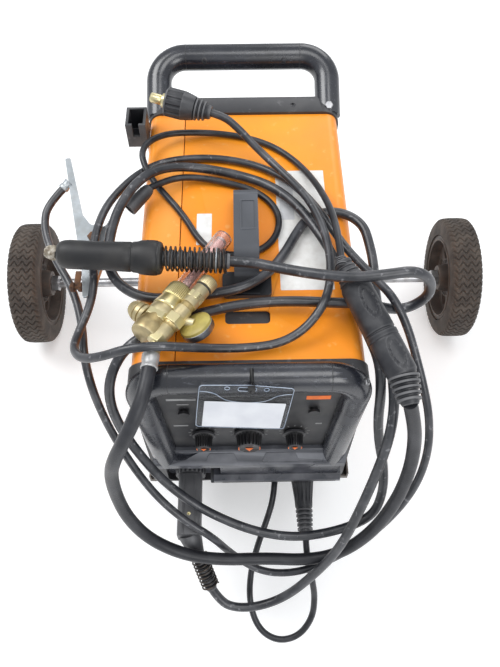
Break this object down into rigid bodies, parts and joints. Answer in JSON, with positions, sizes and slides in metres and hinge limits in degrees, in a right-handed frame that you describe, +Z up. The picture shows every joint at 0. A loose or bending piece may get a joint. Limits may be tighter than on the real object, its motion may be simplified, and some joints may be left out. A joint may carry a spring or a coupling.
{
  "type": "mig welder on cart",
  "caption": "Upright wire-feed welder with bar bumper, knobs and top handle on a low wheeled tray, its gun, clamp, gas regulator and leads coiled over the top.",
  "frame": {"origin": "on the floor, under the middle of the cart and machine without their loose leads", "axes": "+X to the machine's right seen from its front, along the axle; +Y to the rear; +Z up"},
  "size_m": [0.834, 0.7497, 0.5475],
  "materials": {
    "cart_paint": "satin",
    "axle_steel": "worn",
    "tyre_rubber": "matt",
    "rim_plastic": "matt",
    "caster_steel": "satin",
    "caster_rubber": "matt",
    "foot_rubber": "matt",
    "pan_paint": "satin",
    "orange_paint": "satin",
    "bezel_plastic": "matt",
    "bar_plastic": "satin",
    "panel_plastic": "satin",
    "knob_plastic": "satin",
    "brass_part": "worn",
    "latch_plastic": "matt",
    "fan_plastic": "matt",
    "spool_wire": "bright",
    "feed_metal": "satin",
    "roll_steel": "satin",
    "arm_plastic": "matt",
    "inverter_metal": "satin",
    "gun_plastic": "matt",
    "nozzle_steel": "worn",
    "guard_steel": "worn",
    "clamp_steel": "galvanised",
    "clear_tube": "clear",
    "plug_rubber": "matt",
    "hose_rubber": "matt",
    "cable_rubber": "satin",
    "tag_plastic": "glossy"
  },
  "bodies": {
    "machine": {"cart_deck": "cart_paint", "axle": "axle_steel", "feet": "foot_rubber", "base_pan": "pan_paint", "centre_divider": "pan_paint", "top_cover": "orange_paint", "left_shoulder_cover": "orange_paint", "right_side_panel": "orange_paint", "front_bezel": "bezel_plastic", "front_bar": "bar_plastic", "control_panel": "panel_plastic", "socket_panel": "bezel_plastic", "output_sockets": "brass_part", "rear_bezel": "bezel_plastic", "rear_handle": "bar_plastic", "rear_fittings": "brass_part", "carry_handle": "bezel_plastic", "cord_hook": "bezel_plastic", "feed_unit": "feed_metal", "power_unit": "inverter_metal", "gun_handle": "gun_plastic", "gun_nozzle": "nozzle_steel", "clamp_lower_jaw": "clamp_steel", "regulator_body": "brass_part", "flow_tube": "clear_tube", "cable_plug": "brass_part", "cable_coupler": "plug_rubber", "mig_connector": "plug_rubber", "bend_guards": "guard_steel", "dinse_plug": "plug_rubber", "torch_handle": "plug_rubber", "tag": "tag_plastic", "gas_hose": "hose_rubber", "gun_cable": "cable_rubber", "ground_cable": "cable_rubber", "torch_cable": "cable_rubber", "polarity_lead": "cable_rubber"},
    "left_wheel": {"left_tyre": "tyre_rubber", "left_rim": "rim_plastic"},
    "right_wheel": {"right_tyre": "tyre_rubber", "right_rim": "rim_plastic"},
    "left_caster": {"left_caster_fork": "caster_steel"},
    "right_caster": {"right_caster_fork": "caster_steel"},
    "left_caster_roller": {"left_caster_wheel": "caster_rubber"},
    "right_caster_roller": {"right_caster_wheel": "caster_rubber"},
    "door": {"side_door": "orange_paint"},
    "latch": {"door_latch": "latch_plastic"},
    "centre_dial": {"centre_knob": "knob_plastic"},
    "left_dial": {"left_knob": "knob_plastic"},
    "right_dial": {"right_knob": "knob_plastic"},
    "left_key": {"left_button": "knob_plastic"},
    "right_key": {"right_button": "knob_plastic"},
    "mains_rocker": {"power_switch": "knob_plastic"},
    "fan": {"fan_rotor": "fan_plastic"},
    "spool": {"wire_spool": "spool_wire"},
    "feed_roll": {"drive_roll": "roll_steel"},
    "feed_arm": {"pressure_arm": "arm_plastic"},
    "trigger": {"gun_trigger": "gun_plastic"},
    "clamp_jaw": {"clamp_upper_jaw": "clamp_steel"},
    "flow_dial": {"regulator_knob": "brass_part"}
  },
  "joints": [
    {"name": "left_wheel_spin", "type": "hinge", "parent": "machine", "child": "left_wheel", "pos_m": [-0.378, 0.144, 0.108], "axis": [1, 0, 0], "continuous": true},
    {"name": "right_wheel_spin", "type": "hinge", "parent": "machine", "child": "right_wheel", "pos_m": [0.378, 0.144, 0.108], "axis": [1, 0, 0], "continuous": true},
    {"name": "left_caster_swivel", "type": "hinge", "parent": "machine", "child": "left_caster", "pos_m": [-0.105, -0.15, 0.105], "axis": [0, 0, 1], "continuous": true},
    {"name": "right_caster_swivel", "type": "hinge", "parent": "machine", "child": "right_caster", "pos_m": [0.105, -0.15, 0.105], "axis": [0, 0, 1], "continuous": true},
    {"name": "left_caster_spin", "type": "hinge", "parent": "left_caster", "child": "left_caster_roller", "pos_m": [-0.105, -0.125, 0.0375], "axis": [1, 0, 0], "continuous": true},
    {"name": "right_caster_spin", "type": "hinge", "parent": "right_caster", "child": "right_caster_roller", "pos_m": [0.105, -0.125, 0.0375], "axis": [1, 0, 0], "continuous": true},
    {"name": "door_swing", "type": "hinge", "parent": "machine", "child": "door", "pos_m": [-0.137, 0.166, 0.333], "axis": [0, 0, -1], "range_deg": [0, 110]},
    {"name": "latch_turn", "type": "hinge", "parent": "door", "child": "latch", "pos_m": [-0.1325, -0.196, 0.333], "axis": [1, 0, 0], "range_deg": [0, 90]},
    {"name": "centre_dial_turn", "type": "hinge", "parent": "machine", "child": "centre_dial", "pos_m": [0, -0.252, 0.328], "axis": [0, 1, 0], "continuous": true},
    {"name": "left_dial_turn", "type": "hinge", "parent": "machine", "child": "left_dial", "pos_m": [-0.057, -0.252, 0.328], "axis": [0, 1, 0], "range_deg": [-135, 135]},
    {"name": "right_dial_turn", "type": "hinge", "parent": "machine", "child": "right_dial", "pos_m": [0.057, -0.252, 0.328], "axis": [0, 1, 0], "range_deg": [-135, 135]},
    {"name": "left_key_press", "type": "slide", "parent": "machine", "child": "left_key", "axis": [0, 1, 0], "range_m": [0, 0.0022], "stiffness_N_per_m": 400},
    {"name": "right_key_press", "type": "slide", "parent": "machine", "child": "right_key", "axis": [0, 1, 0], "range_m": [0, 0.0022], "stiffness_N_per_m": 400},
    {"name": "mains_rocker_tip", "type": "hinge", "parent": "machine", "child": "mains_rocker", "pos_m": [-0.08, 0.2025, 0.4], "axis": [1, 0, 0], "range_deg": [0, 10]},
    {"name": "fan_spin", "type": "hinge", "parent": "machine", "child": "fan", "pos_m": [0.044, 0.184, 0.3], "axis": [0, 1, 0], "continuous": true},
    {"name": "spool_spin", "type": "hinge", "parent": "machine", "child": "spool", "pos_m": [-0.064, 0.058, 0.336], "axis": [1, 0, 0], "continuous": true},
    {"name": "feed_roll_spin", "type": "hinge", "parent": "machine", "child": "feed_roll", "pos_m": [-0.082, -0.15, 0.189], "axis": [1, 0, 0], "continuous": true},
    {"name": "feed_arm_lift", "type": "hinge", "parent": "machine", "child": "feed_arm", "pos_m": [-0.082, -0.188, 0.232], "axis": [1, 0, 0], "range_deg": [0, 60]},
    {"name": "trigger_pull", "type": "hinge", "parent": "machine", "child": "trigger", "pos_m": [-0.17787, -0.11725, 0.50715], "axis": [0.0581, 0.9983, 0], "range_deg": [0, 6], "stiffness_Nm_per_rad": 0.6},
    {"name": "clamp_open", "type": "hinge", "parent": "machine", "child": "clamp_jaw", "pos_m": [-0.186, -0.058, 0.4706], "axis": [0, 0, 1], "range_deg": [0, 25], "stiffness_Nm_per_rad": 1.5},
    {"name": "flow_dial_turn", "type": "hinge", "parent": "machine", "child": "flow_dial", "pos_m": [-0.049, -0.1527, 0.503], "axis": [0.5923, 0.8057, 0], "range_deg": [0, 720]}
  ],
  "couplings": [
    {"joint": "feed_roll_spin", "follows": "spool_spin", "ratio": -4.6667}
  ]
}
